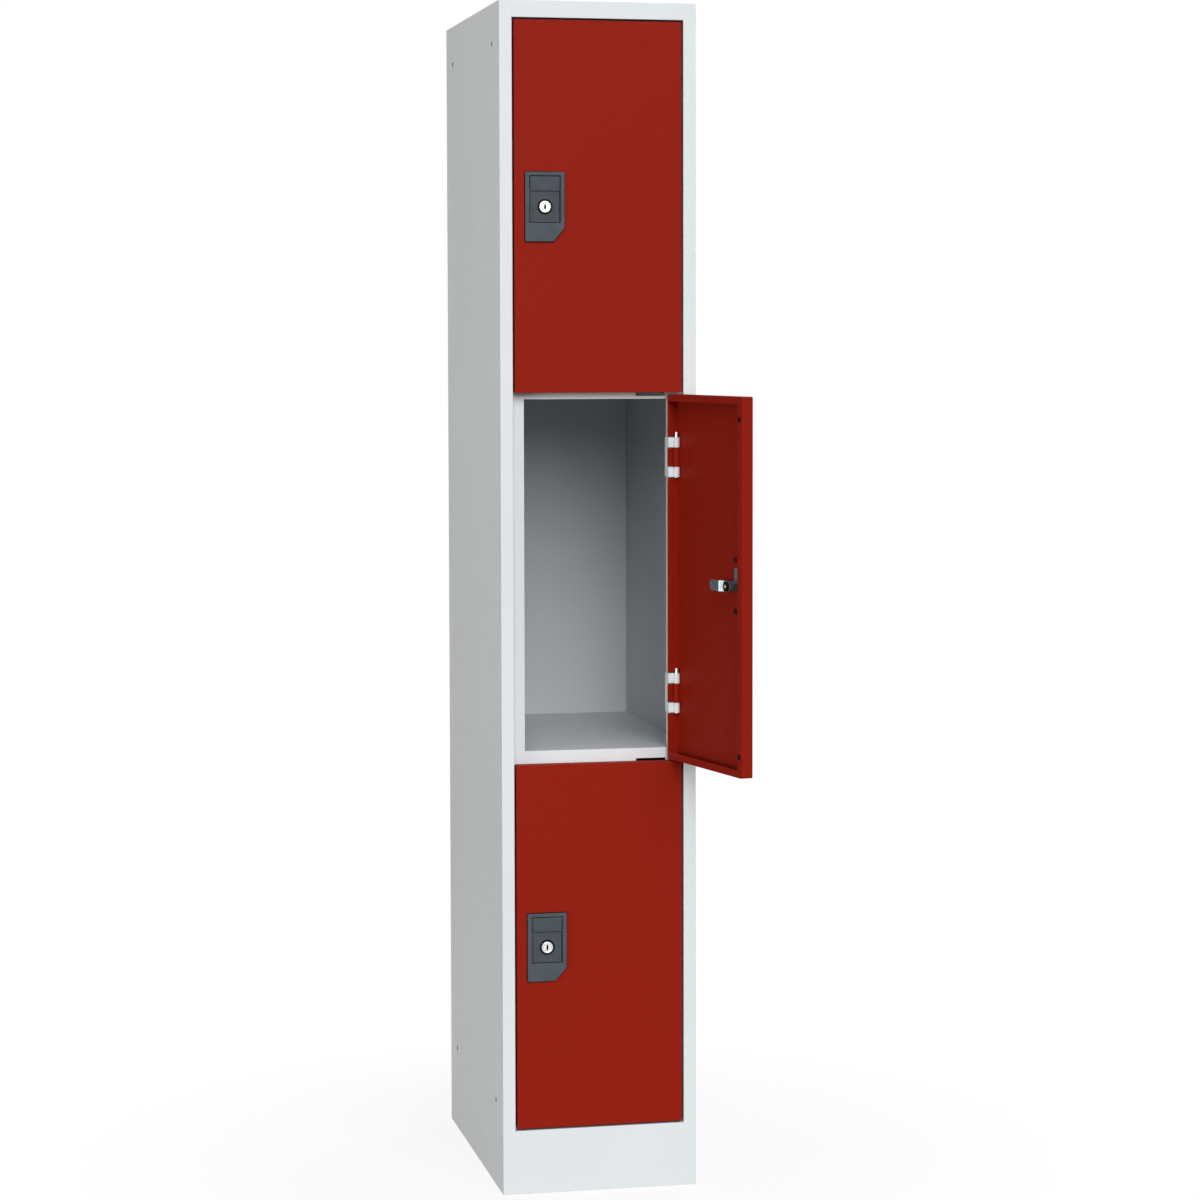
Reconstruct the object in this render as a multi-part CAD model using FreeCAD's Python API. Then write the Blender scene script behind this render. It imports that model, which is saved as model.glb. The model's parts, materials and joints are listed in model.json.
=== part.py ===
import FreeCAD, Part
import math
import os

# A steel compartment locker: folded carcass, three hinged doors, a cam lock in each door.
# X runs to the right, Y into the locker, Z up. The origin is the middle of the footprint on the floor.
# All sizes are millimetres and all angles degrees.

# Carcass
width = 300.0
depth = 500.0
height = 1800.0
sheet = 0.8            # body sheet
stile = 19.0           # front face of each side panel
header = 25.0          # front face above the doors
plinth = 97.0          # front face below the doors
rebate = 20.0          # depth that the doors sink into the front
stop_flange = 20.0     # face that a closed door's back rests near
hem = 12.0             # stiffening fold behind a stop flange
back_flange = 15.0     # fold of a side panel round the back
side_fold = 15.0       # fold of a plate down a side panel
rear_fold = 15.0       # fold of a plate down the back panel
foot_fold = 18.0       # fold of a side panel along the floor
foot_setback = 25.0    # from the hem to the front end of the foot fold
plinth_fold = 15.0     # fold of the plinth along the floor
plinth_lip = 15.0      # lip of the plinth against the base
base_skirt = 40.0      # front fold of the base, which closes the front behind the plinth
roof_fold = 12.0       # fold of the back panel under the roof
slip = 0.5             # room where one folded panel slides past another

# Shelves and their front rails
rail_above = 17.5      # from the middle of a door gap up to the shelf's floor
rail_below = 8.5       # from the middle of a door gap down to the rail's lower edge
vent_length = 46.0
vent_height = 8.0
vent_rise = 3.0        # of the vent's middle above the middle of the door gap
vent_end = 4.0         # from the vent to the end of its rail
header_vent_drop = 5.0   # of the header vent's middle below the opening's top

# Holes for joining lockers side by side and for fixing to a floor
side_hole = 8.0
side_hole_front = 64.0   # from the front face
side_hole_back = 64.0    # from the back face
side_hole_top = 60.0     # from the top
side_hole_floor = 132.0  # from the floor
floor_hole = 8.0
floor_hole_edge = 9.0    # from the side panel's outer face

# Doors
door_names = ("top", "middle", "bottom")
door_angles = (0.0, 102.0, 0.0)   # how far each one stands open
door_gap = 3.0
door_sheet = 0.9
free_lip = 15.0        # back lip at the lock side
end_lip = 11.0         # back lips at the top and the bottom
swing_clear = 0.4      # between the swinging hinge edge and the stop flange

# Hinges
pin_radius = 2.7
pin_play = 0.08
pin_inset = 6.5        # pin axis from the door's hinge edge
leaf = 2.0             # hinge strip on the door
strap = 1.7            # hinge strip on the frame
strap_height = 15.0
knuckle_height = 30.0  # from one strap to the other
knuckle_gap = 0.4      # between the door's knuckle and a strap
curl_gap = 4.2         # between a rolled knuckle's end and its strip
leaf_reach = 33.0      # from the pin along the door
hinge_from_top = 95.5
hinge_from_bottom = 100.5
pin_stub = 8.0         # above the upper strap
pin_tail = 1.0         # below the lower strap
notch_clear = 1.5      # above and below a strap in the door's hinge edge
notch_front = 1.0      # notch starts this far in front of the pin's axis

# Rubber buffers
buffer_radius = 4.5
buffer_edge = 8.0      # from the door's free edge
buffer_from_top = 33.0
buffer_from_bottom = 31.0
buffer_clear = 0.3     # from a closed door's buffer to the stop flange

# Lock plate
lock_inset = 46.0      # lock axis from the door's free edge
plate_width = 60.0
plate_height = 104.0
plate_proud = 4.0
plate_bevel = 0.8      # round the plate's front
plate_corner = 1.5     # cut off each corner of the outline
plate_cut_wide = 17.0  # corner cut, across
plate_cut_tall = 20.0  # corner cut, up
recess_width = 47.5
recess_square = 47.8   # lower part of the recess, round the lock
recess_divider = 1.2
ramp_height = 21.5     # upper part of the recess
ramp_shallow = 1.0     # depth of the ramp at its upper edge
ramp_deep = 3.2        # depth of the ramp at its lower edge
ramp_groove = 0.7      # round the ramp, as deep as its lower edge
plate_screw_side = 9.0      # from the lock axis towards the hinge
plate_screw_offset = 38.0   # above and below the lock axis
plate_screw_flats = 8.0     # across the flats of a screw's hexagon head
plate_screw_head = 3.5

# Lock insert and cylinder
insert_play = 0.4
insert_slot = 1.2      # shadow slot at the insert's right edge
insert_base = 0.5      # left under the slot
insert_sunk = 1.5      # behind the plate's front
head_radius = 9.0      # round head of the cylinder, seated on the insert
head_thick = 2.2
barrel_flat = 7.4      # from the lock axis to the barrel's four sides
barrel_corner = 8.0    # from the lock axis to the barrel's cut corners
barrel_play = 0.1
plug_radius = 6.0
plug_play = 0.06
key_wide = 1.8
key_tall = 8.0
key_deep = 9.0
clip_sheet = 1.2
clip_flat = 6.8        # from the lock axis to the grooves that the clip grips
clip_play = 0.05
clip_half = 11.5
clip_low = 8.5         # below the lock axis
clip_high = 26.0       # above the lock axis

# Cam
cam_sheet = 2.0
cam_width = 16.0
cam_reach = 47.0       # from the lock axis to the tip
cam_root = 17.5        # root's front face behind the door's front face
cam_crank = 5.5        # step away from the door
cam_crank_start = 12.0
cam_crank_run = 6.0
cam_corner = 4.0       # cut off each corner
cam_clear = 0.3        # between the cam and the barrel
cam_room = 3.0         # round the cam's path through the hem
tail_half = 4.0        # square end of the plug
tail_play = 0.05
cam_screw_flats = 10.0
cam_screw_head = 3.0

# Places that follow from the sizes
front = -depth / 2
back = depth / 2
half = width / 2
inner_half = half - sheet
open_half = half - stile
stop_half = open_half - stop_flange
stop_y = front + rebate
hem_y = stop_y + hem
foot_half = -hem_y - foot_setback      # half the length of the fold along the floor
panel_back = back - 2 * sheet          # inner face of the back panel
open_top = height - header
stop_low = open_top - stop_flange
base_top = plinth + stop_flange
door_count = len(door_names)
door_height = (open_top - plinth - (door_count + 1) * door_gap) / door_count
door_left = door_gap - open_half
door_right = open_half - door_gap
pin_bore = pin_radius + pin_play
pin_back = door_sheet + leaf + pin_bore    # pin axis behind the door's front face
pin_x = door_right - pin_inset
pin_y = front + pin_back
door_depth = pin_back + math.sqrt((rebate - pin_back - swing_clear) ** 2 - pin_inset ** 2)
lock_x = door_left + lock_inset
hinge_half = knuckle_height / 2 + strap_height
insert_face = insert_sunk - plate_proud    # behind the door's front face, so less than zero is in front
head_face = insert_face - head_thick
over = 1.0                             # how far a cutting solid passes a face
touching = 0.001                       # two places closer than this are one


def door_low(index):
    return open_top - (index + 1) * (door_gap + door_height)


def lock_height(index):
    return door_low(index) + door_height / 2


def hinge_heights(index):
    low = door_low(index)
    return (low + door_height - hinge_from_top, low + hinge_from_bottom)


# One piece at each of a door's hinges.
def at_hinges(make, index):
    return Part.makeCompound([make(middle) for middle in hinge_heights(index)])


def box(x0, x1, y0, y1, z0, z1):
    return Part.makeBox(x1 - x0, y1 - y0, z1 - z0, FreeCAD.Vector(x0, y0, z0))


def rod(radius, x, y, z0, z1):
    return Part.makeCylinder(radius, z1 - z0, FreeCAD.Vector(x, y, z0))


# A round bar along Y, given by its distances behind the door's front plane.
def bar(radius, x, z, behind0, behind1):
    start = FreeCAD.Vector(x, front + behind0, z)
    return Part.makeCylinder(radius, behind1 - behind0, start, FreeCAD.Vector(0, 1, 0))


# A 2-D point in one of the three planes, at a distance along that plane's normal.
def place(plane, point, along):
    spots = {
        "xy": (point[0], point[1], along),
        "yz": (along, point[0], point[1]),
        "xz": (point[0], along, point[1]),
    }
    return FreeCAD.Vector(*spots[plane])


# The edges of one face of a folded sheet: straight runs, with an arc where a fold has its radius.
def bent_edges(points, radii, plane, along):
    edges = []
    here = points[0]
    for i in range(1, len(points) - 1):
        into = (points[i] - points[i - 1]).normalize()
        out = (points[i + 1] - points[i]).normalize()
        turn = into.getAngle(out)
        reach = radii[i] * math.tan(turn / 2)
        start = points[i] - into * reach
        end = points[i] + out * reach
        edges.append(Part.LineSegment(place(plane, here, along), place(plane, start, along)).toShape())
        if radii[i] > 0:
            inward = (out - into).normalize()
            middle = points[i] + inward * (radii[i] / math.cos(turn / 2) - radii[i])
            spots = [place(plane, spot, along) for spot in (start, middle, end)]
            edges.append(Part.Arc(*spots).toShape())
        here = end
    edges.append(Part.LineSegment(place(plane, here, along), place(plane, points[-1], along)).toShape())
    return edges


# A folded sheet: its section follows the path, with the sheet on the path's left side.
# A fold is tight, so its outside is as round as the sheet is thick.
# The corners counted in sharp, which don't show from the front, are drawn square.
def folded(path, thick, plane, low, high, sharp=()):
    points = [FreeCAD.Vector(a, b, 0) for a, b in path]
    last = len(points) - 1
    runs = [(points[i + 1] - points[i]).normalize() for i in range(last)]
    sides = [FreeCAD.Vector(-run.y, run.x, 0) for run in runs]
    other = [points[0] + sides[0] * thick]
    radii = [0.0]
    other_radii = [0.0]
    for i in range(1, last):
        turns_left = runs[i - 1].cross(runs[i]).z > 0
        other.append(points[i] + (sides[i - 1] + sides[i]) * (thick / (1 + sides[i - 1].dot(sides[i]))))
        outside = 0.0 if i in sharp else thick
        radii.append(outside if turns_left else 0.0)
        other_radii.append(0.0 if turns_left else outside)
    other.append(points[last] + sides[last - 1] * thick)
    edges = bent_edges(points, radii, plane, low) + bent_edges(other, other_radii, plane, low)
    for a, b in ((points[0], other[0]), (points[last], other[last])):
        edges.append(Part.LineSegment(place(plane, a, low), place(plane, b, low)).toShape())
    section = Part.Face(Part.Wire(Part.__sortEdges__(edges)))
    return section.extrude(place(plane, (0, 0), high) - place(plane, (0, 0), low))


# A plane outline seen from the front, pushed back from one distance to another.
def slab(points, behind0, behind1):
    corners = [FreeCAD.Vector(x, front + behind0, z) for x, z in points]
    face = Part.Face(Part.makePolygon(corners + corners[:1]))
    return face.extrude(FreeCAD.Vector(0, behind1 - behind0, 0))


def rectangle(x0, x1, z0, z1):
    return [(x0, z0), (x1, z0), (x1, z1), (x0, z1)]


def mirrored(shape):
    return shape.mirror(FreeCAD.Vector(0, 0, 0), FreeCAD.Vector(1, 0, 0))


def save(name, shape):
    shape.exportStep(os.path.join("parts", name + ".step"))


# One folded side panel: back flange, side, stile, return, stop flange and hem, with a fold along the floor.
def left_side():
    path = [
        (back_flange - half, back),
        (-half, back),
        (-half, front),
        (-open_half, front),
        (-open_half, stop_y),
        (-stop_half, stop_y),
        (-stop_half, hem_y),
    ]
    panel = folded(path, sheet, "xy", 0, height, sharp=(1, 4, 5))
    panel = panel.fuse(box(-half, foot_fold - half, -foot_half, foot_half, 0, sheet))
    for z in (side_hole_floor, height - side_hole_top):
        for y in (front + side_hole_front, back - side_hole_back):
            start = FreeCAD.Vector(-half - over, y, z)
            length = sheet + 2 * over
            panel = panel.cut(Part.makeCylinder(side_hole / 2, length, start, FreeCAD.Vector(1, 0, 0)))
    panel = panel.cut(rod(floor_hole / 2, floor_hole_edge - half, 0, -over, sheet + over))
    roof_room = box(-inner_half, 0, front + sheet + slip, hem_y + over, height - sheet, height + over)
    return panel.cut(roof_room).removeSplitter()


# The lock side's hem is open where a turning cam passes behind the stop flange.
def lock_side(panel):
    for index in range(door_count):
        low = lock_height(index) - cam_width / 2 - cam_room
        high = lock_height(index) + cam_reach + cam_room
        start = stop_y + sheet + slip
        panel = panel.cut(box(-stop_half - sheet - over, over - stop_half, start, hem_y + over, low, high))
    return panel


# A level plate between the side panels, with a fold down each of them.
def plate_between_sides(top, y0, y1):
    path = [
        (inner_half, top - side_fold),
        (inner_half, top),
        (-inner_half, top),
        (-inner_half, top - side_fold),
    ]
    return folded(path, sheet, "xz", y0, y1, sharp=(1, 2))


def vent(middle):
    right = stop_half - vent_end
    low = middle - vent_height / 2
    return box(right - vent_length, right, stop_y - over, stop_y + sheet + over, low, low + vent_height)


# The roof and the header above the doors are one sheet.
def top_panel():
    path = [
        (stop_y, height),
        (front, height),
        (front, open_top),
        (stop_y, open_top),
        (stop_y, stop_low),
        (hem_y, stop_low),
    ]
    head = folded(path, sheet, "yz", -open_half, open_half, sharp=(3, 4))
    for x0, x1 in ((-open_half - over, -stop_half), (stop_half, open_half + over)):
        head = head.cut(box(x0, x1, stop_y - slip, hem_y + over, stop_low - over, height - header / 2))
    roof = plate_between_sides(height, front + sheet + slip, back - sheet - slip)
    notch_y = panel_back - roof_fold - slip
    for x0, x1 in ((-half, -open_half), (open_half, half)):
        roof = roof.cut(box(x0, x1, notch_y, back, height - side_fold - over, height - sheet))
    return head.fuse(roof).cut(vent(open_top - header_vent_drop)).removeSplitter()


# The back, inside the side panels' back flanges, with a fold under the roof.
def back_panel():
    outer = back - sheet
    top = height - sheet
    path = [(outer, 0), (outer, top), (outer - roof_fold, top)]
    panel_half = inner_half - slip
    panel = folded(path, sheet, "yz", -panel_half, panel_half, sharp=(1,))
    fold_half = inner_half - sheet - slip
    for x0, x1 in ((-half, -fold_half), (fold_half, half)):
        panel = panel.cut(box(x0, x1, outer - roof_fold - over, panel_back, top - sheet, top + over))
    return panel


# A shelf or the base: a plate notched round the hems, with a front fold between them.
def shelf(top, front_path):
    path = [(panel_back, top - rear_fold), (panel_back, top), (stop_y, top)] + front_path
    middle = folded(path, sheet, "yz", -stop_half, stop_half, sharp=(1, 3))
    wings = plate_between_sides(top, hem_y + slip, panel_back)
    return middle.fuse(wings).removeSplitter()


def rail_shelf(gap_middle):
    low = gap_middle - rail_below
    plate = shelf(gap_middle + rail_above, [(stop_y, low), (hem_y, low)])
    return plate.cut(vent(gap_middle + vent_rise))


def base_panel():
    return shelf(base_top, [(stop_y, base_top - base_skirt)])


def plinth_front():
    path = [
        (stop_y, plinth - plinth_lip),
        (stop_y, plinth),
        (front, plinth),
        (front, 0),
        (front + plinth_fold, 0),
    ]
    panel = folded(path, sheet, "yz", -open_half, open_half, sharp=(1, 3))
    for x0, x1 in ((-half, slip - open_half), (open_half - slip, half)):
        panel = panel.cut(box(x0, x1, stop_y - sheet - slip, stop_y + over, 0, plinth + over))
    return panel


# A strip rolled round the hinge pin. The strip leaves the roll on the side given by its face.
def rolled(strip, x0, face, z0, z1):
    roll = pin_bore + strip
    near = pin_y + face * pin_bore
    far = pin_y + face * roll
    seam = near - face * curl_gap
    knuckle = rod(roll, pin_x, pin_y, z0, z1).fuse(box(x0, pin_x, min(near, far), max(near, far), z0, z1))
    knuckle = knuckle.cut(rod(pin_bore, pin_x, pin_y, z0 - over, z1 + over))
    gap = box(pin_x - roll, pin_x - pin_bore / 2, min(near, seam), max(near, seam), z0 - over, z1 + over)
    return knuckle.cut(gap).removeSplitter()


# The frame's half of a hinge: two rolled straps on one plate along the hem.
def hinge_bracket(middle):
    right = stop_half
    left = stop_half - strap
    arm_front = pin_y + pin_bore
    plate = box(left, right, stop_y + slip, hem_y, middle - hinge_half, middle + hinge_half)
    pieces = []
    for z0 in (middle - hinge_half, middle + knuckle_height / 2):
        z1 = z0 + strap_height
        pieces.append(rolled(strap, left, 1, z0, z1))
        pieces.append(box(left, right, arm_front, stop_y + slip, z0, z1))
    return plate.fuse(pieces).removeSplitter()


def hinge_pin(middle):
    return rod(pin_radius, pin_x, pin_y, middle - hinge_half - pin_tail, middle + hinge_half + pin_stub)


def hinge_leaf(middle):
    z0 = middle - knuckle_height / 2 + knuckle_gap
    z1 = middle + knuckle_height / 2 - knuckle_gap
    return rolled(leaf, pin_x - leaf_reach, -1, z0, z1)


def hinge_leaves(index):
    return at_hinges(hinge_leaf, index)


# The edges of a block that lie in the plane across Y at a given place.
def edges_across(shape, y):
    spans = [(edge, edge.BoundBox) for edge in shape.Edges]
    return [edge for edge, span in spans if abs(span.YMin - y) + abs(span.YMax - y) < touching]


# The edges of a block that run along Y.
def edges_along(shape):
    return [edge for edge in shape.Edges if edge.BoundBox.YLength > over]


# A tray of folded sheet with lips behind it on three sides.
def door(index):
    low = door_low(index)
    high = low + door_height
    rear = front + door_depth
    outer = box(door_left, door_right, front, rear, low, high)
    outer = outer.makeFillet(door_sheet, edges_across(outer, front))
    inner = box(
        door_left + door_sheet,
        door_right - door_sheet,
        front + door_sheet,
        rear - door_sheet,
        low + door_sheet,
        high - door_sheet,
    )
    mouth = box(
        door_left + free_lip,
        door_right - door_sheet,
        rear - door_sheet - over,
        rear + over,
        low + end_lip,
        high - end_lip,
    )
    tray = outer.cut(inner).cut(mouth)
    for middle in hinge_heights(index):
        for z0 in (middle - hinge_half, middle + knuckle_height / 2):
            notch = box(
                door_right - door_sheet - over,
                door_right + over,
                pin_y - notch_front,
                rear + over,
                z0 - notch_clear,
                z0 + strap_height + notch_clear,
            )
            tray = tray.cut(notch)
    return tray.cut(slab(barrel_outline(lock_height(index), barrel_play), -over, door_sheet + over))


def buffer_heights(index):
    low = door_low(index)
    return (low + buffer_from_bottom, low + door_height - buffer_from_top)


def buffers(index):
    x = door_left + buffer_edge
    heights = buffer_heights(index)
    return Part.makeCompound([bar(buffer_radius, x, z, door_depth, rebate - buffer_clear) for z in heights])


# A moulded plate on the front of the door, with one corner cut off, a finger ramp and a square recess.
def lock_plate(index):
    middle = lock_height(index)
    left = lock_x - plate_width / 2
    right = lock_x + plate_width / 2
    low = middle - plate_height / 2
    high = middle + plate_height / 2
    outline = [
        (left, low),
        (right - plate_cut_wide, low),
        (right, low + plate_cut_tall),
        (right, high),
        (left, high),
    ]
    plate = slab(outline, -plate_proud, 0)
    plate = plate.makeChamfer(plate_corner, edges_along(plate))
    face = front - plate_proud
    plate = plate.makeChamfer(plate_bevel, edges_across(plate, face))
    recess_left = lock_x - recess_width / 2
    recess_right = lock_x + recess_width / 2
    square = recess_square / 2
    ramp_low = middle + square + recess_divider
    ramp_high = ramp_low + ramp_height
    square_hole = rectangle(recess_left, recess_right, middle - square, middle + square)
    cuts = [slab(square_hole, -plate_proud - over, over)]
    for sides in (
        (recess_left, recess_left + ramp_groove, ramp_low, ramp_high),
        (recess_right - ramp_groove, recess_right, ramp_low, ramp_high),
        (recess_left, recess_right, ramp_high - ramp_groove, ramp_high),
    ):
        cuts.append(slab(rectangle(*sides), -plate_proud - over, ramp_deep - plate_proud))
    ramp = [
        (face - over, ramp_low),
        (face + ramp_deep, ramp_low),
        (face + ramp_shallow, ramp_high),
        (face - over, ramp_high),
    ]
    corners = [FreeCAD.Vector(recess_left, y, z) for y, z in ramp]
    wedge = Part.Face(Part.makePolygon(corners + corners[:1]))
    cuts.append(wedge.extrude(FreeCAD.Vector(recess_width, 0, 0)))
    return plate.cut(cuts).removeSplitter()


# A hexagon head across Y, with two of its flats level.
def hexagon_head(x, z, flats, behind0, behind1):
    reach = flats / math.sqrt(3)
    angles = [math.radians(60 * step) for step in range(6)]
    corners = [(x + reach * math.cos(angle), z + reach * math.sin(angle)) for angle in angles]
    return slab(corners, behind0, behind1)


# The screws that draw the lock plate against the door from behind.
def plate_screws(index):
    x = lock_x + plate_screw_side
    rear = door_sheet + plate_screw_head
    heads = []
    for rise in (plate_screw_offset, -plate_screw_offset):
        heads.append(hexagon_head(x, lock_height(index) + rise, plate_screw_flats, door_sheet, rear))
    return Part.makeCompound(heads)


# The barrel's section: a square with its corners cut off, so that it can't turn in the insert.
def barrel_outline(middle, grow):
    flat = barrel_flat + grow
    side = math.sqrt(2) * (barrel_corner + grow) - flat
    corners = [
        (side, -flat),
        (flat, -side),
        (flat, side),
        (side, flat),
        (-side, flat),
        (-flat, side),
        (-flat, -side),
        (-side, -flat),
    ]
    return [(lock_x + x, middle + z) for x, z in corners]


# A moulded block in the square recess, which carries the cylinder.
def lock_insert(index):
    middle = lock_height(index)
    side = recess_width / 2 - insert_play
    rise = recess_square / 2 - insert_play
    right = lock_x + side
    block = slab(rectangle(lock_x - side, right, middle - rise, middle + rise), insert_face, 0)
    slot = rectangle(right - insert_slot, right + over, middle - rise - over, middle + rise + over)
    block = block.cut(slab(slot, insert_face - over, -insert_base))
    return block.cut(slab(barrel_outline(middle, barrel_play), insert_face - over, over))


# The fixed outer part of the cylinder: a round head in front and two grooves for the clip behind.
def lock_barrel(index):
    middle = lock_height(index)
    end = cam_root - cam_clear
    barrel = bar(head_radius, lock_x, middle, head_face, insert_face)
    barrel = barrel.fuse(slab(barrel_outline(middle, 0), insert_face, end))
    barrel = barrel.cut(bar(plug_radius + plug_play, lock_x, middle, head_face - over, end + over))
    for side in (-1, 1):
        near = lock_x + side * clip_flat
        far = lock_x + side * (barrel_flat + over)
        groove = rectangle(min(near, far), max(near, far), middle - barrel_flat, middle + barrel_flat)
        barrel = barrel.cut(slab(groove, door_sheet, door_sheet + clip_sheet))
    return barrel.removeSplitter()


# A horseshoe spring clip pushed over the barrel from above, flat against the back of the door.
def lock_clip(index):
    middle = lock_height(index)
    rear = door_sheet + clip_sheet
    body = rectangle(lock_x - clip_half, lock_x + clip_half, middle - clip_low, middle + clip_high)
    slot_half = clip_flat + clip_play
    slot_top = middle + barrel_flat + barrel_play
    slot = rectangle(lock_x - slot_half, lock_x + slot_half, middle - clip_low - over, slot_top)
    return slab(body, door_sheet, rear).cut(slab(slot, door_sheet - over, rear + over))


# The turning plug: keyhole in front, square tail behind for the cam.
def lock_plug(index):
    middle = lock_height(index)
    plug = bar(plug_radius, lock_x, middle, head_face, cam_root)
    tail = rectangle(lock_x - tail_half, lock_x + tail_half, middle - tail_half, middle + tail_half)
    plug = plug.fuse(slab(tail, cam_root, cam_root + cam_sheet))
    keyhole = rectangle(
        lock_x - key_wide / 2,
        lock_x + key_wide / 2,
        middle - key_tall / 2,
        middle + key_tall / 2,
    )
    return plug.cut(slab(keyhole, head_face - over, head_face + key_deep)).removeSplitter()


# The cranked cam, drawn unlocked, with its tip towards the hinge.
def lock_cam(index):
    middle = lock_height(index)
    half_width = cam_width / 2
    root = front + cam_root
    crank_end = cam_crank_start + cam_crank_run
    path = [
        (lock_x - half_width, root),
        (lock_x + cam_crank_start, root),
        (lock_x + crank_end, root + cam_crank),
        (lock_x + cam_reach, root + cam_crank),
    ]
    strip = folded(path, cam_sheet, "xy", middle - half_width, middle + half_width)
    near = cam_root - over
    far = cam_root + cam_crank + cam_sheet + over
    sides = (lock_x - half_width, lock_x + cam_reach, middle - half_width, middle + half_width)
    blank = slab(rectangle(*sides), near, far)
    cam = strip.common(blank.makeChamfer(cam_corner, edges_along(blank)))
    hole_half = tail_half + tail_play
    hole = rectangle(lock_x - hole_half, lock_x + hole_half, middle - hole_half, middle + hole_half)
    return cam.cut(slab(hole, near, far)).removeSplitter()


def cam_screw(index):
    seat = cam_root + cam_sheet
    return hexagon_head(lock_x, lock_height(index), cam_screw_flats, seat, seat + cam_screw_head)


def opened(shape, index):
    turned = shape.copy()
    turned.rotate(FreeCAD.Vector(pin_x, pin_y, 0), FreeCAD.Vector(0, 0, 1), door_angles[index])
    return turned


os.makedirs("parts", exist_ok=True)

# Carcass
plain_side = left_side()
save("left_side_panel", lock_side(plain_side))
save("right_side_panel", mirrored(plain_side))
save("top_panel", top_panel())
save("back_panel", back_panel())
save("base_panel", base_panel())
save("plinth_front", plinth_front())
for shelf_name, above in (("upper_shelf", 0), ("lower_shelf", 1)):
    save(shelf_name, rail_shelf(door_low(above) - door_gap / 2))

# Both hinges of each door, with the halves and pins on the frame first, then all that the door carries
frame_pieces = {
    "hinge_brackets": hinge_bracket,
    "hinge_pins": hinge_pin,
}
door_pieces = {
    "door": door,
    "hinge_leaves": hinge_leaves,
    "buffers": buffers,
    "lock_plate": lock_plate,
    "plate_screws": plate_screws,
    "lock_insert": lock_insert,
    "lock_barrel": lock_barrel,
    "lock_clip": lock_clip,
    "lock_plug": lock_plug,
    "lock_cam": lock_cam,
    "cam_screw": cam_screw,
}
for door_index, door_name in enumerate(door_names):
    for piece_name, make in frame_pieces.items():
        save(f"{door_name}_{piece_name}", at_hinges(make, door_index))
    for piece_name, make in door_pieces.items():
        save(f"{door_name}_{piece_name}", opened(make(door_index), door_index))
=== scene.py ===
import json
import math

import bmesh
import bpy
from mathutils import Matrix, Vector


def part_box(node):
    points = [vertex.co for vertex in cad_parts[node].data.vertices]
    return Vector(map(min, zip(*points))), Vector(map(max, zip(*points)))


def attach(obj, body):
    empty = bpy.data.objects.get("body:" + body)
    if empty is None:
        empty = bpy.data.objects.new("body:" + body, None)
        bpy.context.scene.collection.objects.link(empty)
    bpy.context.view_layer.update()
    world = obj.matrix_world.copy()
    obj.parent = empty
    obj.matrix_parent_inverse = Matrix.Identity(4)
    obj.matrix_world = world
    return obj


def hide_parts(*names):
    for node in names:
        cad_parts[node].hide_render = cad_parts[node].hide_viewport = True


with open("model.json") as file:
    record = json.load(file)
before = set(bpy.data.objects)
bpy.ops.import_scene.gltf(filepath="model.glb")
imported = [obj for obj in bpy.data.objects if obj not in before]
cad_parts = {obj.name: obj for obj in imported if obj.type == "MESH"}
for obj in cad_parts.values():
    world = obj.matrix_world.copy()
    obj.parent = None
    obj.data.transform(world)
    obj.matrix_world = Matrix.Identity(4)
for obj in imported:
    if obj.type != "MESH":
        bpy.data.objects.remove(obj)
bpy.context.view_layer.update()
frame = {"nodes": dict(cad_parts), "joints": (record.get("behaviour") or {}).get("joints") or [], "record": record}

nodes = frame["nodes"]
doorNames = ("top", "middle", "bottom")
mm = 0.001
print("frame loaded:", len(nodes), "nodes")


# colours are picked as the eye sees them, 0 to 255
def seen(red, green, blue):
    def linear(value):
        value = value / 255
        return value / 12.92 if value <= 0.04045 else ((value + 0.055) / 1.055) ** 2.4
    return (linear(red), linear(green), linear(blue), 1.0)


def lighter(colour, share):
    return tuple(min(1.0, part * share) for part in colour[:3]) + (1.0,)


# where a colour drift begins and ends, and how far the painted shade deep inside boxes looks for walls round it
driftEnds = (0.35, 0.65)
innerShadeLook = dict(samples=8, reach=0.8, shut=0.10, free=0.38)


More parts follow.
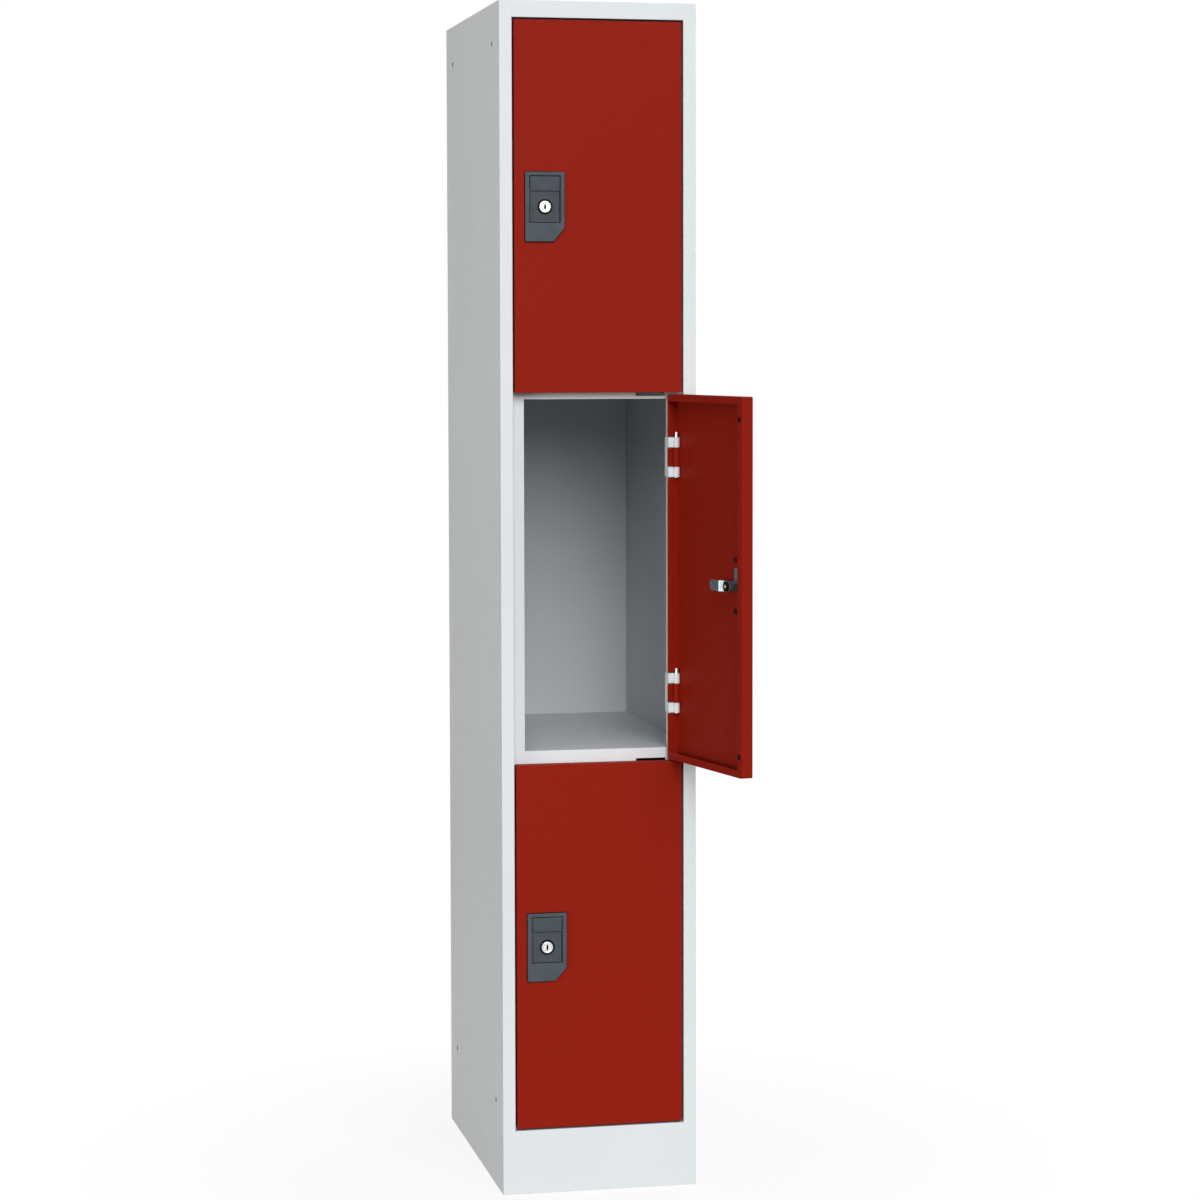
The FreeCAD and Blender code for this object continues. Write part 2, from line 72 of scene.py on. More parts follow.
# finishes: every one has its own grain, gloss and colour drift
class Finish:
    def __init__(self, name):
        self.material = bpy.data.materials.new(name)
        self.material.use_nodes = True
        self.tree = self.material.node_tree
        self.shader = self.tree.nodes["Principled BSDF"]
        self.place = self.add("ShaderNodeTexCoord").outputs["Object"]

    def add(self, kind, **settings):
        node = self.tree.nodes.new(kind)
        for key, value in settings.items():
            setattr(node, key, value)
        return node

    def link(self, out, into):
        self.tree.links.new(out, into)

    def set(self, **values):
        for key, value in values.items():
            self.shader.inputs[key.replace("_", " ")].default_value = value

    # cloudy noise, about size metres from blob to blob
    def noise(self, size, detail=2.0, stretch=None):
        texture = self.add("ShaderNodeTexNoise")
        texture.inputs["Scale"].default_value = 1 / size
        texture.inputs["Detail"].default_value = detail
        where = self.place
        if stretch:
            squeeze = self.add("ShaderNodeMapping")
            squeeze.inputs["Scale"].default_value = stretch
            self.link(where, squeeze.inputs["Vector"])
            where = squeeze.outputs["Vector"]
        self.link(where, texture.inputs["Vector"])
        return texture.outputs["Fac"]

    def cells(self, size):
        texture = self.add("ShaderNodeTexVoronoi")
        texture.inputs["Scale"].default_value = 1 / size
        self.link(self.place, texture.inputs["Vector"])
        return texture.outputs["Distance"]

    def between(self, fac, low, high, fromLow=0.3, fromHigh=0.7):
        spread = self.add("ShaderNodeMapRange")
        limits = {"From Min": fromLow, "From Max": fromHigh, "To Min": low, "To Max": high}
        for key, value in limits.items():
            spread.inputs[key].default_value = value
        self.link(fac, spread.inputs["Value"])
        return spread.outputs["Result"]

    def colours(self, fac, first, second, innerShadeShare=0.0):
        ramp = self.add("ShaderNodeValToRGB")
        for stop, position, colour in zip(ramp.color_ramp.elements, driftEnds, (first, second)):
            stop.position = position
            stop.color = colour
        self.link(fac, ramp.inputs["Fac"])
        # darkened by painted shade deep inside boxes when a share is given
        coat = self.shadeDeepInside(ramp.outputs["Color"], innerShadeShare) if innerShadeShare else ramp.outputs["Color"]
        self.link(coat, self.shader.inputs["Base Color"])

    # painted shade: the coat's colour is darkened deep inside a box, as far as ambient occlusion finds walls round
    # it
    def shadeDeepInside(self, colour, share):
        room = self.add("ShaderNodeAmbientOcclusion", samples=innerShadeLook["samples"])
        room.inputs["Distance"].default_value = innerShadeLook["reach"]
        kept = self.between(room.outputs["AO"], 1 - share, 1.0, innerShadeLook["shut"], innerShadeLook["free"])
        scale = self.add("ShaderNodeVectorMath", operation="SCALE")
        self.link(colour, scale.inputs[0])
        self.link(kept, scale.inputs["Scale"])
        return scale.outputs["Vector"]

    def gloss(self, fac, low, high):
        self.link(self.between(fac, low, high), self.shader.inputs["Roughness"])

    # height in metres; soften is the radius that edges seem to have
    def relief(self, fac, height, strength=1.0, soften=0.0):
        bump = self.add("ShaderNodeBump")
        bump.inputs["Strength"].default_value = strength
        bump.inputs["Distance"].default_value = height
        self.link(fac, bump.inputs["Height"])
        if soften:
            edge = self.add("ShaderNodeBevel", samples=4)
            edge.inputs["Radius"].default_value = soften
            self.link(edge.outputs["Normal"], bump.inputs["Normal"])
        self.link(bump.outputs["Normal"], self.shader.inputs["Normal"])


# stoved powder coat: faint orange peel, slightly uneven gloss, and painted shade deep inside boxes where a share
# is given
def powderCoat(name, colour, look):
    finish = Finish(name)
    drift = finish.noise(look["drift"], detail=3.0)
    finish.colours(drift, lighter(colour, look["dark"]), lighter(colour, look["pale"]), look["innerShadeShare"])
    finish.gloss(finish.noise(look["glossBlobs"]), look["glossLow"], look["glossHigh"])
    finish.relief(finish.noise(look["peel"]), look["peelHeight"], look["peelStrength"], look["edge"])
    finish.set(Specular_IOR_Level=look["shine"])
    return finish.material


# moulded plastic with a spark-eroded grain
def mouldedPlastic(name, colour, look):
    finish = Finish(name)
    drift = finish.noise(look["drift"], detail=3.0)
    finish.colours(drift, lighter(colour, look["dark"]), lighter(colour, look["pale"]))
    finish.gloss(finish.cells(look["grain"]), look["glossLow"], look["glossHigh"])
    grain = finish.noise(look["grain"], detail=3.0)
    finish.relief(grain, look["grainHeight"], look["grainStrength"], look["edge"])
    finish.set(Specular_IOR_Level=look["shine"])
    return finish.material


# plated steel and nickel: fine drawn lines and a little cloud in the plate
def platedMetal(name, colour, look):
    finish = Finish(name)
    lines = finish.noise(look["lineSize"], detail=4.0, stretch=look["lineWay"])
    finish.colours(finish.noise(look["cloud"], detail=4.0), lighter(colour, look["dull"]), colour)
    finish.gloss(lines, look["glossLow"], look["glossHigh"])
    finish.relief(lines, look["lineHeight"], look["lineStrength"], look["edge"])
    finish.set(Metallic=1.0)
    return finish.material


def softRubber(name, colour, look):
    finish = Finish(name)
    drift = finish.noise(look["drift"], detail=3.0)
    finish.colours(drift, lighter(colour, look["dark"]), lighter(colour, look["pale"]))
    finish.gloss(finish.noise(look["grain"]), look["glossLow"], look["glossHigh"])
    finish.relief(finish.noise(look["grain"], detail=4.0), look["grainHeight"])
    finish.set(Specular_IOR_Level=look["shine"])
    return finish.material


# the last share is how much painted shade darkens the coat deep inside boxes
paintLook = dict(drift=0.35, dark=0.985, pale=1.015, glossBlobs=0.012, glossLow=0.40, glossHigh=0.50,
                 peel=0.0016, peelHeight=0.00003, peelStrength=0.6, edge=0.0005, shine=0.16, innerShadeShare=0.28)
hingeLook = dict(paintLook, innerShadeShare=0.0)
redLook = dict(hingeLook, glossLow=0.46, glossHigh=0.56, shine=0.05)
plasticLook = dict(drift=0.02, dark=0.94, pale=1.06, grain=0.0006, glossLow=0.50, glossHigh=0.66,
                   grainHeight=0.00005, grainStrength=0.7, edge=0.0004, shine=0.12)
zincLook = dict(cloud=0.004, dull=0.72, lineSize=0.0006, lineWay=(1.0, 1.0, 0.08), glossLow=0.26,
                glossHigh=0.46, lineHeight=0.00001, lineStrength=0.5, edge=0.0003)
nickelLook = dict(zincLook, cloud=0.006, dull=0.90, glossLow=0.16, glossHigh=0.26, edge=0.0004)
blackLook = dict(zincLook, glossLow=0.4, glossHigh=0.6)
rubberLook = dict(drift=0.01, dark=0.8, pale=1.25, grain=0.0005, glossLow=0.60, glossHigh=0.80,
                  grainHeight=0.00004, shine=0.06)
collarLook = dict(plasticLook, glossLow=0.35, glossHigh=0.5)
castLook = dict(zincLook, glossLow=0.42, glossHigh=0.58)

finishes = {
    "body_paint": powderCoat("greyPowderCoat", seen(222, 227, 231), paintLook),
    "door_paint": powderCoat("redPowderCoat", seen(143, 30, 15), redLook),
    "hinge_paint": powderCoat("hingePowderCoat", seen(234, 238, 241), hingeLook),
    "pin_steel": platedMetal("hingePinZinc", seen(226, 228, 230), zincLook),
    "rubber": softRubber("bufferRubber", seen(18, 17, 17), rubberLook),
    "lock_plastic": mouldedPlastic("lockPlatePlastic", seen(77, 83, 90), plasticLook),
    "insert_plastic": mouldedPlastic("lockInsertPlastic", seen(70, 76, 82), plasticLook),
    "lock_chrome": platedMetal("cylinderNickel", seen(236, 236, 238), nickelLook),
    "clip_steel": platedMetal("clipSpringSteel", seen(148, 190, 203), zincLook),
    "cam_zinc": platedMetal("camZinc", seen(150, 164, 174), zincLook),
    "screw_brass": platedMetal("camScrewYellowZinc", seen(214, 190, 130), zincLook),
    "black_steel": platedMetal("blackenedSteel", seen(34, 34, 36), blackLook),
}
# the collar's real black, which also stands for painted shadow round the cylinder's head
collarBlackAndShadow = mouldedPlastic("collarBlackAndShadow", seen(16, 16, 18), collarLook)
# black for painted shade: the keyhole, the lines round the insert and the ramp, the lock plate's foot and the
# joining holes
shadeBlack = softRubber("paintedShadowBlack", seen(9, 9, 10), dict(rubberLook, shine=0.02))
seamCoat = powderCoat("seamPowderCoat", seen(222, 227, 231), dict(paintLook, edge=0.0))
barrelZinc = platedMetal("barrelZinc", seen(112, 118, 122), castLook)
for row in frame["record"]["subparts"]:
    mesh = nodes[row["node"]].data
    mesh.materials.clear()
    mesh.materials.append(barrelZinc if row["node"].endswith("_barrel") else finishes[row["material_slot"]])


# how close two points are one, how small a sliver goes, and the angle (degrees) that shows as an edge
meshing = dict(weld=1e-6, doubles=2e-6, slivers=1e-6, sharp=35)


# mesh helpers: local x runs to the right of a shut door, y into the locker, z up
def lathe(bm, profile, turn, steps):
    angles = [2 * math.pi * step / steps for step in range(steps)]
    rings = []
    for radius, along in profile:
        if radius == 0:
            rings.append([bm.verts.new(turn @ Vector((0, along, 0)))])
        else:
            rings.append([bm.verts.new(turn @ Vector((radius * math.cos(a), along, radius * math.sin(a))))
                          for a in angles])
    for near, far in zip(rings, rings[1:]):
        for step in range(steps):
            after = (step + 1) % steps
            if len(near) == 1:
                bm.faces.new((near[0], far[step], far[after]))
            elif len(far) == 1:
                bm.faces.new((near[step], near[after], far[0]))
            else:
                bm.faces.new((near[step], near[after], far[after], far[step]))


# the same for a profile that comes back to its first point
def latheRing(bm, profile, turn, steps):
    lathe(bm, profile, turn, steps)
    bmesh.ops.remove_doubles(bm, verts=bm.verts, dist=meshing["weld"])


def band(bm, near, far):
    for i in range(len(near)):
        j = (i + 1) % len(near)
        bm.faces.new((near[i], near[j], far[j], far[i]))


def prism(bm, corners, y0, y1, turn):
    near = [bm.verts.new(turn @ Vector((x, y0, z))) for x, z in corners]
    far = [bm.verts.new(turn @ Vector((x, y1, z))) for x, z in corners]
    bm.faces.new(near)
    bm.faces.new(far)
    band(bm, near, far)


def oblong(left, right, low, high):
    return [(left, low), (right, low), (right, high), (left, high)]


# corners of the outline round flat points, in order
def convexOutline(points):
    def half(ordered):
        line = []
        for x, z in ordered:
            while len(line) > 1 and ((line[-1][0] - line[-2][0]) * (z - line[-2][1])
                                     - (line[-1][1] - line[-2][1]) * (x - line[-2][0])) <= 1e-10:
                line.pop()
            line.append((x, z))
        return line[:-1]
    ordered = sorted(set((round(x, 6), round(z, 6)) for x, z in points))
    return half(ordered) + half(ordered[::-1])


# the same outline with every edge moved outwards
def grown(outline, by):
    moved = []
    for i, corner in enumerate(outline):
        here, after = Vector(corner), Vector(outline[(i + 1) % len(outline)])
        first, second = (here - Vector(outline[i - 1])).normalized(), (after - here).normalized()
        firstOut, secondOut = Vector((first.y, -first.x)), Vector((second.y, -second.x))
        moved.append(here + (firstOut + secondOut) * by / (1 + firstOut.dot(secondOut)))
    return moved


def edgesSharp(mesh, degrees):
    mesh.shade_smooth()
    mesh.set_sharp_from_angle(angle=math.radians(degrees))


def placed(name, mesh):
    thing = bpy.data.objects.new(name, mesh)
    bpy.context.scene.collection.objects.link(thing)
    return thing


def piece(name, bm, material, sharp=meshing["sharp"]):
    bmesh.ops.recalc_face_normals(bm, faces=bm.faces)
    mesh = bpy.data.meshes.new(name)
    bm.to_mesh(mesh)
    bm.free()
    edgesSharp(mesh, sharp)
    if material:
        mesh.materials.append(material)
    return placed(name, mesh)


# cuts, fills or trims a piece with a tool, which is used up
def shapedBy(thing, tool, way):
    cut = thing.modifiers.new("shape", "BOOLEAN")
    cut.object = tool
    cut.operation = way
    cut.solver = "EXACT"
    graph = bpy.context.evaluated_depsgraph_get()
    made = bpy.data.meshes.new_from_object(thing.evaluated_get(graph))
    thing.modifiers.clear()
    bm = bmesh.new()
    bm.from_mesh(made)
    bmesh.ops.remove_doubles(bm, verts=bm.verts, dist=meshing["doubles"])
    bmesh.ops.dissolve_degenerate(bm, edges=bm.edges, dist=meshing["slivers"])
    bm.to_mesh(made)
    bm.free()
    old = thing.data
    thing.data = made
    bpy.data.meshes.remove(old)
    bpy.data.objects.remove(tool)
    edgesSharp(made, meshing["sharp"])


# where each door and its lock stand at rest: the lock joint's axis points out of the door's front
joints = {row["name"]: row for row in frame["joints"]}
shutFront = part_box("top_door")[0].y
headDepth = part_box("top_lock_barrel")[0].y - shutFront
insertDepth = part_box("top_lock_insert")[0].y - shutFront
camRoot = joints["top_lock_turn"]["pos_m"][1] - shutFront


def lockPlace(door):
    lockTurn = joints[door + "_lock_turn"]
    out = Vector(lockTurn["axis"])
    up = Vector((0, 0, 1))
    right = up.cross(out)
    turn = Matrix((right, -out, up)).transposed().to_4x4()
    turn.translation = Vector(lockTurn["pos_m"]) + out * camRoot
    return turn


# the points of a node in a door's own axes
def pointsOf(node, place):
    back = place.inverted()
    return [back @ vert.co for vert in nodes[node].data.vertices]


# the same for a node of two solids, the lower one first
def solidsOf(node, place):
    points = sorted(pointsOf(node, place), key=lambda point: point.z)
    middle = (points[0].z + points[-1].z) / 2
    return [p for p in points if p.z < middle], [p for p in points if p.z >= middle]


def extent(points):
    low = Vector(min(p[i] for p in points) for i in range(3))
    high = Vector(max(p[i] for p in points) for i in range(3))
    return low, high


# black collar round the cylinder's head: a flat flange, a thin wall and a lip over the face's edge; the flange is
# drawn wider than the real ring, so part of its black is painted shadow round the head
collar = dict(inner=9.02 * mm, outer=11.7 * mm, edge=0.25 * mm, proud=0.5 * mm, wall=0.45 * mm,
              lip=8.6 * mm, lipThick=0.12 * mm, lipClear=0.02 * mm, steps=64)


def makeCollar(door):
    bm = bmesh.new()
    base, top = insertDepth, insertDepth - collar["proud"]
    face, side = headDepth - collar["lipClear"], collar["inner"] + collar["wall"]
    profile = [
        (collar["inner"], base),
        (collar["inner"], face),
        (collar["lip"], face),
        (collar["lip"] + collar["lipThick"] / 2, face - collar["lipThick"]),
        (side - collar["wall"] / 2, face - collar["lipThick"]),
        (side, face + collar["wall"] / 2),
        (side, top),
        (collar["outer"] - collar["edge"], top),
        (collar["outer"], top + collar["edge"]),
        (collar["outer"], base),
        (collar["inner"], base),
    ]
    latheRing(bm, profile, lockPlace(door), collar["steps"])
    ring = piece(door + "_lock_collar", bm, collarBlackAndShadow)
    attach(ring, door + "_door")


# turned rim round the cylinder's face: its swell goes in shares of the rim's width and height
rim = dict(outer=8.5 * mm, inner=6.2 * mm, high=0.2 * mm, steps=64, sharp=50,
           swell=((0.0, 0.0), (0.15, 0.55), (0.40, 1.0), (0.72, 1.0), (0.92, 0.6), (1.0, 0.0), (0.0, 0.0)))


def makeRim(door):
    bm = bmesh.new()
    wide = rim["outer"] - rim["inner"]
    profile = [(rim["inner"] + across * wide, headDepth - rise * rim["high"])
               for across, rise in rim["swell"]]
    latheRing(bm, profile, lockPlace(door), rim["steps"])
    ring = piece(door + "_cylinder_rim", bm, finishes["lock_chrome"], rim["sharp"])
    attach(ring, door + "_door")


# black wards in the keyhole, at shares of its half height, and a black lens on the face round it: painted shade
# for the dark of the keyhole
keyway = dict(wide=1.7 * mm, tall=7.9 * mm, mouth=0.5 * mm, deep=8.0 * mm, ward=0.45 * mm,
              rightWard=(-0.2, -0.1, 0.25, 0.35), leftWard=(0.1, 0.0, -0.35, -0.45),
              mouthWide=3.2 * mm, mouthTall=10.4 * mm, mouthThick=0.06 * mm, mouthSteps=24)


def makeKeyway(door):
    bm = bmesh.new()
    wide, tall = keyway["wide"] / 2, keyway["tall"] / 2
    sides = (wide, wide - keyway["ward"], wide - keyway["ward"], wide)
    right = [(x, share * tall) for x, share in zip(sides, keyway["rightWard"])]
    left = [(-x, share * tall) for x, share in zip(sides, keyway["leftWard"])]
    outline = [(-wide, -tall), (wide, -tall)] + right + [(wide, tall), (-wide, tall)] + left
    prism(bm, outline, headDepth + keyway["mouth"], headDepth + keyway["deep"], lockPlace(door))
    angles = [2 * math.pi * step / keyway["mouthSteps"] for step in range(keyway["mouthSteps"])]
    lens = [(keyway["mouthWide"] / 2 * math.copysign(math.cos(a) ** 2, math.cos(a)),
             keyway["mouthTall"] / 2 * math.sin(a)) for a in angles]
    prism(bm, lens, headDepth - keyway["mouthThick"], headDepth, lockPlace(door))
    keywayShade = piece(door + "_keyway_shade", bm, shadeBlack)
    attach(keywayShade, door + "_lock")


# a dome over a solid: its outline goes in shares of the solid's radius and height
def domed(bm, look, radius, tall, turn):
    lathe(bm, [(radius * r, tall * a) for r, a in look["dome"]] + [(0.0, 0.0)], turn, look["steps"])


# domed rubber buttons on the lock side's lip
button = dict(steps=40, sharp=60,
              dome=((0.0, 1.0), (0.35, 0.97), (0.62, 0.84), (0.82, 0.62), (0.95, 0.32), (1.0, 0.0)))


def makeButtons(door):
    place = lockPlace(door)
    bm = bmesh.new()
    for points in solidsOf(door + "_buffers", place):
        low, high = extent(points)
        middle = (low + high) / 2
        turn = place @ Matrix.Translation((middle.x, low.y, middle.z))
        domed(bm, button, (high.x - low.x) / 2, high.y - low.y, turn)
    domes = piece(door + "_buffer_buttons", bm, finishes["rubber"], button["sharp"])
    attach(domes, door + "_door")
    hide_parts(door + "_buffers")


# pan-head screws behind the lock plate, with a cross recess in shares of the head
panHead = dict(steps=40, slotLong=0.62, slotWide=0.17, slotDeep=0.55, slotPast=1.2,
               dome=((0.0, 0.86), (0.30, 0.84), (0.62, 0.74), (0.85, 0.56), (0.97, 0.36), (1.0, 0.22),
                     (1.0, 0.0)))


def makePlateScrews(door):
    place = lockPlace(door)
    heads, slots = bmesh.new(), bmesh.new()
    for points in solidsOf(door + "_plate_screws", place):
        low, high = extent(points)
        middle = (low + high) / 2
        radius, tall = (high.z - low.z) / 2, high.y - low.y
        turn = place @ Matrix.Translation((middle.x, low.y, middle.z))
        domed(heads, panHead, radius, tall, turn)
        reach, wide = radius * panHead["slotLong"], radius * panHead["slotWide"]
        cross = [(reach, wide), (wide, wide), (wide, reach),
                 (-wide, reach), (-wide, wide), (-reach, wide),
                 (-reach, -wide), (-wide, -wide), (-wide, -reach),
                 (wide, -reach), (wide, -wide), (reach, -wide)]
        prism(slots, cross, tall * (1 - panHead["slotDeep"]), tall * panHead["slotPast"], turn)
    screws = piece(door + "_lock_plate_screws", heads, finishes["black_steel"])
    shapedBy(screws, piece(door + "_slots", slots, None), "DIFFERENCE")
    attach(screws, door + "_door")
    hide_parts(door + "_plate_screws")


# dark nut on the cam with a crowned top, in shares of the solid it covers, and the yellow end of its screw
camNut = dict(steps=48, wide=1.40, tall=1.20, full=1.02, shoulder=0.84, crown=0.90, crownTall=0.99,
              flat=0.5, endWide=0.38, endTall=0.25, endFrom=0.9, endDrop=0.3 * mm, endInset=0.4 * mm)


def makeCamNut(door):
    place = lockPlace(door)
    low, high = extent(pointsOf(door + "_cam_screw", place))
    reach, deep = (high.x - low.x) / 2, high.y - low.y
    turn = place @ Matrix.Translation(((low.x + high.x) / 2, low.y, (low.z + high.z) / 2))
    wide, tall = reach * camNut["wide"], deep * camNut["tall"]
    angles = [math.radians(60 * step) for step in range(6)]
    hexagon, crown, thread = bmesh.new(), bmesh.new(), bmesh.new()
    prism(hexagon, [(wide * math.cos(a), wide * math.sin(a)) for a in angles], 0, tall, turn)
    nut = piece(door + "_cam_nut", hexagon, finishes["black_steel"])
    full = wide * camNut["full"]
    lathe(crown, [(0.0, -tall), (full, -tall), (full, tall * camNut["shoulder"]),
                  (wide * camNut["crown"], tall * camNut["crownTall"]), (wide * camNut["flat"], tall),
                  (0.0, tall)], turn, camNut["steps"])
    shapedBy(nut, piece(door + "_crown", crown, None), "INTERSECT")
    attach(nut, door + "_lock")
    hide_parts(door + "_cam_screw")
    radius, top, foot = wide * camNut["endWide"], tall + deep * camNut["endTall"], tall * camNut["endFrom"]
    lathe(thread, [(0.0, foot), (radius, foot), (radius, top - camNut["endDrop"]),
                   (radius - camNut["endInset"], top), (0.0, top)], turn, camNut["steps"])
    screwEnd = piece(door + "_cam_screw_end", thread, finishes["screw_brass"])
    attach(screwEnd, door + "_lock")


# painted shade round the insert: a flat black line on three edges and a black block in the slot at its right edge,
# where the recess's shade and shadow fall
insertShade = dict(line=0.55 * mm, proud=0.08 * mm, slot=1.15 * mm, past=0.3 * mm, sunk=0.7 * mm,
                   floor=0.55 * mm)


def makeInsertShade(door):
    place = lockPlace(door)
    low, high = extent(pointsOf(door + "_lock_insert", place))
    line, slotLeft = insertShade["line"], high.x - insertShade["slot"]
    edge = slotLeft - line / 2
    bm = bmesh.new()
    outline = [(low.x, low.z), (edge, low.z), (edge, low.z + line), (low.x + line, low.z + line),
               (low.x + line, high.z - line), (edge, high.z - line), (edge, high.z), (low.x, high.z)]
    prism(bm, outline, low.y - insertShade["proud"], low.y, place)
    slot = oblong(slotLeft, high.x + insertShade["past"], low.z, high.z)
    prism(bm, slot, low.y + insertShade["sunk"], -insertShade["floor"], place)
    lines = piece(door + "_insert_shade", bm, shadeBlack)
    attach(lines, door + "_door")


# black fill in the groove round the finger ramp above the insert: painted shade for the groove's dark
rampGroove = dict(side=23.75 * mm, low=25.1 * mm, high=46.6 * mm, line=0.95 * mm, face=-4.0 * mm,
                  sunk=0.25 * mm, deep=1.2 * mm)


def makeRampGrooveShade(door):
    side, low, high, line = (rampGroove[key] for key in ("side", "low", "high", "line"))
    near, far = rampGroove["face"] + rampGroove["sunk"], rampGroove["face"] + rampGroove["deep"]
    bm = bmesh.new()
    outline = [(-side, low), (line - side, low), (line - side, high - line), (side - line, high - line),
               (side - line, low), (side, low), (side, high), (-side, high)]
    prism(bm, outline, near, far, lockPlace(door))
    grooveShade = piece(door + "_ramp_groove_shade", bm, shadeBlack)
    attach(grooveShade, door + "_door")


# thin black band round the lock plate, on the door at its foot and up its side wall: painted shade for the plate's
# side and its shadow on the door; onDoor is how near counts as meeting
plateShade = dict(wide=0.8 * mm, tall=3.0 * mm, onDoor=0.05 * mm)


def makePlateShade(door):
    place = lockPlace(door)
    points = pointsOf(door + "_lock_plate", place)
    foot = convexOutline([(point.x, point.z) for point in points if abs(point.y) < plateShade["onDoor"]])
    wider = grown(foot, plateShade["wide"])
    bm = bmesh.new()
    rings = [[bm.verts.new(place @ Vector((x, y, z))) for x, z in line]
             for line, y in ((foot, 0.0), (wider, 0.0), (foot, -plateShade["tall"]))]
    for near, far in zip(rings, rings[1:] + rings[:1]):
        band(bm, near, far)
    ring = piece(door + "_plate_shade", bm, shadeBlack)
    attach(ring, door + "_door")


# the rolled edge that closes each door knuckle round its pin
curl = dict(inner=2.83 * mm, outer=4.78 * mm, end=1.37 * mm, strip=2.74 * mm, inside=1.45 * mm, steps=8)
upright = Matrix(((1, 0, 0, 0), (0, 0, 1, 0), (0, 1, 0, 0), (0, 0, 0, 1)))  # a prism that stands up


def makeCurls(door):
    place = lockPlace(door)
    pin = place.inverted() @ Vector(joints[door + "_door_hinge"]["pos_m"])
    outer, inner = curl["outer"], curl["inner"]
    outerEnds = [math.pi - math.asin(curl["end"] / outer), math.pi + math.asin(curl["strip"] / outer)]
    innerEnds = [math.pi + math.acos(curl["inside"] / inner), math.pi - math.asin(curl["end"] / inner)]
    corners = []
    for radius, ends in ((outer, outerEnds), (inner, innerEnds)):
        for step in range(curl["steps"] + 1):
            a = ends[0] + (ends[1] - ends[0]) * step / curl["steps"]
            corners.append((pin.x + radius * math.cos(a), pin.y + radius * math.sin(a)))
    bm = bmesh.new()
    for points in solidsOf(door + "_hinge_leaves", place):
        low, high = extent(points)
        prism(bm, corners, low.z, high.z, place @ upright)
    curls = piece(door + "_knuckle_curls", bm, finishes["door_paint"])
    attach(curls, door + "_door")


# doors with their corners at the lock side rounded, as pressed sheet has them
doorCorner = dict(radius=3.5 * mm, steps=8, past=mm, inWall=0.3 * mm, sharp=4)


def makeRoundedDoor(door):
    place = lockPlace(door)
    low, high = extent(pointsOf(door + "_door", place))
    radius, past, inWall = doorCorner["radius"], doorCorner["past"], doorCorner["inWall"]
    angles = [math.pi / 2 * step / doorCorner["steps"] for step in range(doorCorner["steps"] + 1)]
    posts, cuts = bmesh.new(), bmesh.new()
    for edge, way in ((low.z, 1), (high.z, -1)):
        near, far = edge + way * inWall, edge + way * (radius + inWall)
        post = oblong(low.x + inWall, low.x + radius + inWall, near, far)
        prism(posts, post, low.y + inWall, high.y - inWall, place)
        bend = [(low.x + radius * (1 - math.sin(a)), edge + way * radius * (1 - math.cos(a)))
                for a in angles]
        outside = [(low.x - past, edge + way * radius), (low.x - past, edge - way * past),
                   (low.x + radius, edge - way * past)]
        prism(cuts, bend + outside, low.y - past, high.y + past, place)
    shell = placed(door + "_rounded_door", nodes[door + "_door"].data.copy())
    shapedBy(shell, piece(door + "_posts", posts, None), "UNION")
    shapedBy(shell, piece(door + "_cuts", cuts, None), "DIFFERENCE")
    edgesSharp(shell.data, doorCorner["sharp"])
    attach(shell, door + "_door")
    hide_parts(door + "_door")


for door in doorNames:
    makeCollar(door)
    makeRim(door)
    makeKeyway(door)
    makeButtons(door)
    makePlateScrews(door)
    makeCamNut(door)
    makeInsertShade(door)
    makeRampGrooveShade(door)
    makePlateShade(door)
    makeCurls(door)
    makeRoundedDoor(door)
print("locks, buffers, screws, curls and corners made for", len(doorNames), "doors")


# black sleeve in each joining hole: painted shade, so the holes look as dark as into a shut box
holeShade = dict(thick=0.12 * mm, deep=0.76 * mm, inset=0.02 * mm, clear=0.01 * mm, steps=40)


def makeHoleShade(side):
    mount = next(row for row in frame["record"]["mounts"] if row["name"] == side + "_joining_holes")
    middle, inwards, dims = Vector(mount["pos_m"]), -Vector(mount["axis"]), mount["dims"]
    alongY, alongZ = dims["spacing_x_mm"] * mm / 2, dims["spacing_y_mm"] * mm / 2
    outer = dims["hole_r_mm"] * mm - holeShade["clear"]
    inner = outer - holeShade["thick"]
    near, far = holeShade["inset"], holeShade["deep"]
    profile = [(inner, near), (outer, near), (outer, far), (inner, far), (inner, near)]
    facing = Matrix.Rotation(-inwards.x * math.pi / 2, 4, "Z")
    bm = bmesh.new()
    for y in (-alongY, alongY):
        for z in (-alongZ, alongZ):
            turn = Matrix.Translation(middle + Vector((0, y, z))) @ facing
            latheRing(bm, profile, turn, holeShade["steps"])
    edges = piece(side + "_hole_shade", bm, shadeBlack)
    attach(edges, "carcass")


# welded seams beside the header and the plinth, filled and painted over
seam = dict(at=131.0 * mm, inside=0.7 * mm, outside=2.3 * mm, proud=0.03 * mm, deep=0.3 * mm,
            short=1.9 * mm, headerLow=1775.0 * mm, plinthLow=0.5 * mm, plinthHigh=97.0 * mm)


def makeSeams(side):
    front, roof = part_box("plinth_front")[0].y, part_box("top_panel")[1].z
    way = -1 if side == "left" else 1
    near, far = way * (seam["at"] - seam["inside"]), way * (seam["at"] + seam["outside"])
    heights = ((seam["headerLow"] + seam["short"], roof - seam["short"]),
               (seam["plinthLow"], seam["plinthHigh"] - seam["short"]))
    bm = bmesh.new()
    for low, high in heights:
        prism(bm, oblong(near, far, low, high), front - seam["proud"], front + seam["deep"], Matrix())
    filled = piece(side + "_filled_seams", bm, seamCoat)
    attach(filled, "carcass")


# shelves with their vent slot at the height where it shows between two doors
ventSlot = dict(right=107.0 * mm, long=46.0 * mm, railLow=8.5 * mm, low=-4.2 * mm, high=1.8 * mm, past=mm,
                face=-230.0 * mm, sheet=0.8 * mm, solidLow=-1.4 * mm, solidHigh=7.4 * mm)


